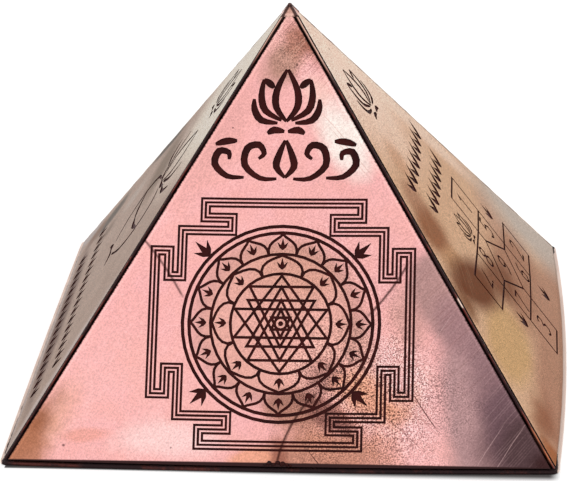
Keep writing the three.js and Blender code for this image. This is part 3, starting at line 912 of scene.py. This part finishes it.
@dataclass(frozen=True)
class Studio:
    """White floor, pale surroundings and soft lamps."""

    softboxes: tuple[Softbox, ...] = (
        Softbox("key_softbox", (-350, -650, 750), (500, 500), 0.12),
        Softbox("fill_softbox", (700, 100, 450), (400, 600), 0.08),
    )
    floor_size: float = 12000.0  # millimetres, like the two lengths below
    plate_side: float = 49.6  # where the painted contact shadow starts beside the plate
    plate_front: float = 50.4  # and before it

    def floor(self) -> None:
        """A wide white floor that keeps the pyramid's shadow, with a painted contact shadow beside the front
        of the plate.
        """
        mesh = bmesh.new()
        bmesh.ops.create_grid(mesh, x_segments=2, y_segments=2, size=self.floor_size * MM / 2)
        data = bpy.data.meshes.new("white_floor")
        mesh.to_mesh(data)
        mesh.free()
        material, board, surface = new_material("white_floor")
        shade = self.contact(board)
        board.feed(surface, {
            "Base Color": board.mix(shade, (0.8, 0.8, 0.8), (0.03, 0.02, 0.02)),
            "Roughness": 0.9,
            "Specular IOR Level": 0.0,
            "Emission Color": board.mix(shade, (1, 1, 1), (0.02, 0.02, 0.02)),
            "Emission Strength": self.seen(board, 0.4)})
        data.materials.append(material)
        floor = linked("white_floor", data)

    def contact(self, board: Board) -> Socket:
        """Painted contact shadow: how dark the floor is right beside the front edge of the plate, more so to
        the right.
        """
        parts = board.parts(coordinates(board))
        beside = board.times(board.minus(board.absolute(parts["X"]), self.plate_side), 3.0)
        before = board.minus(board.times(parts["Y"], -1.0), self.plate_front)
        reach = board.ramp(parts["X"], -45.0, 40.0, 0.8, 2.6)
        shade = board.ramp(board.larger(beside, before), 0.2, reach, 0.95, 0.0)
        shade = board.times(shade, board.ramp(parts["Y"], -40.0, -50.0))
        return board.times(shade, board.ramp(parts["X"], 49.9, 47.4))

    def seen(self, board: Board, strength: float) -> Socket:
        """A strength for what the camera sees, straight or by way of a mirror or glass."""
        path = board.add("ShaderNodeLightPath").outputs
        rays = board.math("ADD", path["Is Camera Ray"], path["Is Glossy Ray"], clamp=True)
        rays = board.math("ADD", rays, path["Is Transmission Ray"], clamp=True)
        return board.times(rays, strength)

    def surroundings(self) -> None:
        """Even white light from all sides."""
        world = bpy.data.worlds.new("studio")
        bpy.context.scene.world = world
        world.use_nodes = True
        board = Board(world.node_tree)
        strength = board.plus(0.88, self.seen(board, 0.12))
        board.feed(world.node_tree.nodes["Background"], {"Color": (1, 1, 1), "Strength": strength})

    def build(self) -> None:
        """Builds floor, surroundings and lamps."""
        bpy.context.scene.view_settings.view_transform = "Standard"
        self.floor()
        self.surroundings()
        for softbox in self.softboxes:
            softbox.build()


# The pyramid


@dataclass
class Pyramid:
    """The dressed pyramid."""

    form: Form = field(default_factory=Form.from_frame)

    def front_copper(self) -> PanelCopper:
        """Pink copper with painted highlights, and a grey purple lower right, brown patches along the foot
        and a browned apex that are partly tarnish and partly painted reflection.
        """
        patches = Patch.rows(
            ((220, 164, 146), -0.3, 27, 18.5, 18.5, 0, 0.62, 0.35, 0.1),
            ((208, 152, 132), 2, 35.5, 13, 8, 0, 0.6, 0.8),
            ((230, 168, 162), -13, 60, 6, 18, -30, 0.75, 0.8),
            # This row and the next two: the browned apex, partly tarnish and partly painted reflection.
            ((178, 134, 118), -0.6, 75, 5.2, 7.5, -18, 0.9, 0.8),
            ((176, 120, 102), 1.4, 79.4, 2.8, 5, 12, 0.85, 0.7),
            ((150, 94, 76), 4.4, 79, 3.4, 8, 28, 0.9, 0.85),
            ((216, 166, 154), 0, 84.5, 3, 2.5, 0, 0.7),
            ((240, 180, 172), -3, 80, 2.2, 5, -28, 0.7),
            # This row and the next: painted highlight.
            ((255, 241, 232), 10.5, 61, 6, 11, 26, 0.9),
            ((253, 212, 200), 5, 70, 4, 5, 26, 0.6),
            ((204, 152, 138), 14, 22, 5, 13, 8, 0.75, 0.8),
            ((200, 152, 142), 23, 27, 5, 8, 20, 0.7, 0.8),
            # From here to the row at (48, 1.5): the grey purple lower right, partly tarnish and partly
            # painted reflection.
            ((178, 138, 134), 31, 32, 8.2, 12, 30, 0.92, 0.35, 0.15),
            ((178, 140, 140), 40.5, 9, 13.4, 30, 12, 0.95, 0.35, 0.12),
            ((164, 124, 126), 32, 26, 5.5, 9, 30, 0.85, 0.7, 0.12),
            ((142, 108, 112), 42, 13, 8.6, 17, 24, 0.9, 0.55, 0.12),
            ((120, 90, 92), 42, 4.5, 9.4, 9.5, 6, 0.9, 0.6, 0.12),
            ((112, 84, 90), 43, 8, 8, 12, 20, 0.92, 0.5, 0.12),
            ((84, 62, 64), 44.5, 4.5, 7.5, 8, 12, 0.95, 0.6, 0.12),
            ((60, 36, 36), 48, 1.5, 4, 4, 20, 0.95, 0.7),
            # From here to the row at (-46, 3): brown patches along the foot, partly tarnish and partly
            # painted reflection.
            ((204, 142, 114), 21, 11, 4, 6, -30, 0.7, 0.8, 0.6),
            ((200, 140, 120), 5, 9, 11, 7, -30, 0.85, 0.8),
            ((192, 133, 112), 9, 2.5, 16, 7, 0, 0.95, 0.6),
            ((176, 124, 108), 2.5, 11, 6.5, 4.5, -20, 0.85, 0.5),
            ((160, 112, 104), 8, 17, 4.5, 5, -20, 0.8),
            ((140, 92, 84), 8.5, 10, 3.2, 8, 56, 0.95, 0.6),
            ((208, 142, 110), 16, 13.5, 9, 6, -30, 0.8),
            ((236, 164, 134), -4.5, 1.5, 6, 3.2, 0, 0.85, 0.5),
            ((158, 98, 82), 0.4, 2, 2.2, 5, 0, 0.85),
            ((212, 156, 124), -42, 7, 5.5, 12, -30, 0.6, 0.85),
            ((150, 90, 60), -45, 6, 4.4, 12, -30, 0.95, 0.85),
            ((180, 118, 90), -46, 3, 6.6, 6, 0, 0.85, 0.5),
            # Painted highlight along the foot, left of the middle.
            ((255, 212, 208), -19, 5, 14, 5, 0, 0.8),
            ((226, 150, 128), -34.5, 5.8, 6, 1.8, 6, 0.5, 0.6),
        )
        # The rows centred at (-70.6, 2), (-17.2, 59) and (24.3, -3.4) paint the reflection of dark lines in
        # a V; the others are stains and a dark scratch.
        stains = (
            Stain(-0.4, 26.6, 14.2, 4, 50, 2.8, 0.16),
            Stain(-70.6, 2, 60.2, 30.5, 43.2, 0.42, 0.75),
            Stain(-17.2, 59, 45.2, 27.4, 38.5, 0.42, 0.85),
            Stain(24.3, -3.4, 24.7, 0.5, 14.5, 0.42, 0.85),
            Stain(37.3, 27.8, 40, -1, 4, 0.15, 0.95),
            Stain(75.9, 44.5, 60.15, 7, 14.4, 0.16, 1.0),
        )
        hair, dark = tone(216, 178, 176), tone(112, 66, 54)
        tip = Zone(4, 79, 6, 12, 24, 1.0, 0.5)
        scratches = (
            Scratches(58, Zone(37, 14, 12, 22, 28, 1.0, 0.4), 3.1, 0.38, 0.12, hair, 0.42),
            Scratches(50, Zone(34, 18, 14, 26, 24, 1.0, 0.6), 0.42, 0.5, 0.14, hair, 0.14),
            Scratches(44, Zone(30, 26, 14, 20, 24, 1.0, 0.6), 0.5, 0.4, 0.14, dark, 0.22),
            Scratches(52, tip, 0.37, 0.5, 0.15, dark, 0.4),
            Scratches(52, tip, 0.53, 0.4, 0.14, tone(236, 190, 170), 0.35),
            Scratches(-48, Zone(10, 62, 7, 12, 22, 1.0, 0.5), 0.7, 0.5, 0.1, tone(214, 164, 152), 0.6),
            Scratches(-42, Zone(22, 9, 9, 9, 0, 1.0, 0.5), 1.3, 0.3, 0.1, tone(84, 46, 42), 0.65),
            Scratches(70, Zone(6, 5, 12, 6, 0, 1.0, 0.5), 0.6, 0.5, 0.12, dark, 0.4),
        )
        grit = (Zone(17, 12, 23, 18, 0, 0.75), Zone(2, 78, 7, 11, 0, 0.4), Zone(8, 30, 24, 26, 0, 0.25))
        return PanelCopper(
            Face.of(Side.FRONT, self.form), tone(246, 180, 179), tone(250, 190, 184), patches, stains,
            scratches, grit)

    def right_copper(self) -> PanelCopper:
        """Golden tan copper with brown streaks near the front hip, and a painted highlight over its top and
        beside the back hip.
        """
        patches = Patch.rows(
            # This row and the next: painted highlight, over the top and beside the back hip.
            ((255, 226, 214), 4, 80, 30, 43, 0, 0.97, 0.7, 0.1),
            ((255, 232, 222), 20, 45, 5.5, 26, 28, 0.6, 0.8, 0.1),
            ((200, 154, 126), -9, 52, 5, 7, -28, 0.7),
            ((170, 122, 100), -15.5, 46, 6, 7, -28, 0.85),
            ((141, 84, 58), -19, 40.5, 9, 7.5, -28, 0.95, 0.7, 0.2),
            ((190, 141, 102), -20, 34, 8, 4, -20, 0.7),
            ((202, 164, 120), -25, 16.5, 18, 9, -6, 1.0, 0.5, 0.15),
            ((160, 110, 91), 8, 14, 27, 14, 0, 0.97, 0.6, 0.15),
            ((190, 151, 134), 22, 24, 14, 7, 0, 0.7),
            ((175, 128, 110), -4, 1, 62, 11, 0, 0.95, 0.5, 0.1),
            ((92, 21, 0), -19, 27.6, 17, 8, -25, 0.97, 0.6, 0.12),
            ((100, 40, 10), -31, 29, 4.5, 5, -28, 0.7),
            ((110, 51, 33), -5, 20.5, 13, 7.5, -20, 0.97, 0.7, 0.12),
            ((133, 71, 50), -38, 5.5, 13, 6, 0, 0.75, 0.9),
            ((157, 84, 42), -46, 2, 5, 6, 0, 0.8),
            ((190, 183, 180), 42, 12, 20, 32, 28, 0.97, 0.75, 0.1),
        )
        scratches = (
            Scratches(-62, Zone(-16, 20, 18, 30, 0, 1.0, 0.6), 0.6, 0.35, 0.14, tone(96, 54, 34), 0.3),
            Scratches(28, Zone(0, 24, 40, 50, 0, 1.0, 0.6), 0.7, 0.3, 0.14, tone(236, 206, 176), 0.2),
        )
        return PanelCopper(
            Face.of(Side.RIGHT, self.form), tone(212, 175, 146), tone(217, 181, 156), patches,
            scratches=scratches, grit=(Zone(0, 30, 90, 90, 0, 0.35),), blush=tone(202, 156, 126),
            edge=tone(220, 206, 191), foot=0.15)

    def back_copper(self) -> PanelCopper:
        """Pink copper with a few browned patches."""
        patches = Patch.rows(
            ((190, 128, 104), -30, 10, 16, 12, -20, 0.7),
            ((226, 172, 150), 22, 22, 14, 16, 20, 0.6),
            ((186, 130, 110), 4, 70, 8, 14, 10, 0.6),
        )
        return PanelCopper(Face.of(Side.BACK, self.form), tone(244, 178, 164), tone(234, 172, 150), patches)

    def left_copper(self) -> PanelCopper:
        """Dull copper, greyer than the front, with a painted highlight at its top and beside the front hip.
        """
        patches = Patch.rows(
            # Painted highlight: the near-white top.
            ((254, 243, 230), 2, 76, 28, 40, 0, 0.97, 0.6, 0.1),
            ((115, 91, 72), -12, 40, 14, 8, -20, 0.85, 0.7),
            ((26, 18, 14), -25.5, 40, 2.8, 11, -30, 0.95, 0.6, 0.15),
            ((44, 30, 24), -33, 17, 4.6, 9.5, -16, 0.93, 0.7),
            ((121, 93, 78), -24, 17, 4.5, 5, -30, 0.85),
            ((115, 63, 28), -38, 9, 5, 6, -30, 0.8),
            ((198, 184, 176), -22, 28, 5, 7, -30, 0.7),
            ((96, 50, 42), 0, 6, 50, 4.5, 0, 0.9, 0.6, 0.12),
            ((198, 184, 182), 0, 1.2, 60, 2.2, 0, 0.95, 0.4, 0.05),
            ((189, 181, 182), -45, 6, 5, 9, -30, 0.9, 0.6),
            # Painted highlight beside the front hip.
            ((216, 203, 201), 40, 15, 5, 30, 30, 0.7, 0.7),
        )
        return PanelCopper(
            Face.of(Side.LEFT, self.form), tone(183, 158, 146), tone(195, 173, 161), patches,
            grit=(Zone(0, 30, 90, 90, 0, 0.35),), blush=tone(146, 114, 98), edge=tone(203, 195, 188),
            foot=0.1)

    def seam_spots(self) -> tuple[Spot, ...]:
        """Bright and coppery spots on the front right hip."""
        copper = tone(206, 124, 84)
        # Each spot: place along the hip, radius in millimetres, colour, strength and softness
        rows = ((0.05, 13, tone(236, 190, 170), 0.8, 0.6), (0.645, 1.3, tone(255, 226, 208), 0.9, 0.5),
                (0.92, 2.6, copper, 0.75, 0.8), (0.96, 2.6, copper, 0.75, 0.8))
        return tuple(Spot(self.form.hip_point(0, share), Vector((radius,) * 3) * MM, *look)
                     for share, radius, *look in rows)

    def plate_spots(self) -> tuple[Spot, ...]:
        """Painted highlight: pale stretches along the left and right edges of the plate."""
        pale, reach = tone(230, 208, 196), self.form.half
        radii = Vector((5, 200, 200)) * MM
        return tuple(Spot(self.form.axis + Vector((side * (reach + 4.3 * MM), 0, 0)), radii, pale, 1.0, 0.05)
                     for side in (-1, 1))

    def build(self) -> list[Object]:
        """Builds every piece of the pyramid."""
        maroon = tone(44, 14, 15)
        seam = SeamMetal("seam_solder", tone(118, 62, 54), tone(44, 15, 17), 0.6, 0.4, 6.0,
                         spots=self.seam_spots(), ridge=Ridge(self.form.axis, 0.19, 0.1, maroon)).material()
        tip = SeamMetal("tip_solder", tone(236, 188, 174), tone(196, 146, 128), 0.5, 0.36, 2.5,
                        ridge=Ridge(self.form.axis, 0.3, 0.5, maroon)).material()
        # The seams of the back hips are pale: a painted highlight.
        pale = SeamMetal("pale_solder", tone(206, 184, 168), tone(150, 122, 106), 0.5, 0.4, 6.0).material()
        dark = SeamMetal("dark_solder", tone(60, 32, 30), tone(34, 16, 18), 0.7, 0.5, 2.0).material()
        plate = SeamMetal("plate_copper", tone(92, 52, 48), tone(38, 18, 21), 0.8, 0.5, 9.0,
                          spots=self.plate_spots()).material()
        coppers = (self.front_copper(), self.right_copper(), self.back_copper(), self.left_copper())
        made = [Panel(copper.face, copper).build() for copper in coppers]
        hips = ("front_right", "back_right", "back_left", "front_left")
        metals = (seam, pale, pale, seam)
        made += [HipSeam(self.form, name, turns, metal).build()
                 for turns, (name, metal) in enumerate(zip(hips, metals))]
        made.append(SolderTip(self.form, tip).build())
        made.append(SolderDrips(dark).build(coppers[0].face))
        self.dress_carried(plate, dark)
        return made

    def dress_carried(self, plate: Material, dark: Material) -> None:
        """Gives the carried CAD nodes their finish."""
        finishes = {"base_plate": plate} | {f"base_seam_{side.label}": dark for side in Side}
        for node, material in finishes.items():
            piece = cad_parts[node]
            piece.data.materials.clear()
            piece.data.materials.append(material)
            LOG.info("%s: carried over, %s", node, material.name)


def main() -> None:
    """Builds the camera, the studio and the pyramid."""
    logging.basicConfig(level=logging.INFO, format="%(message)s")
    PhotoView().build()
    Studio().build()
    pieces = Pyramid().build()
    LOG.info("pieces: %d", len(pieces))


if __name__ == "__main__":
    main()
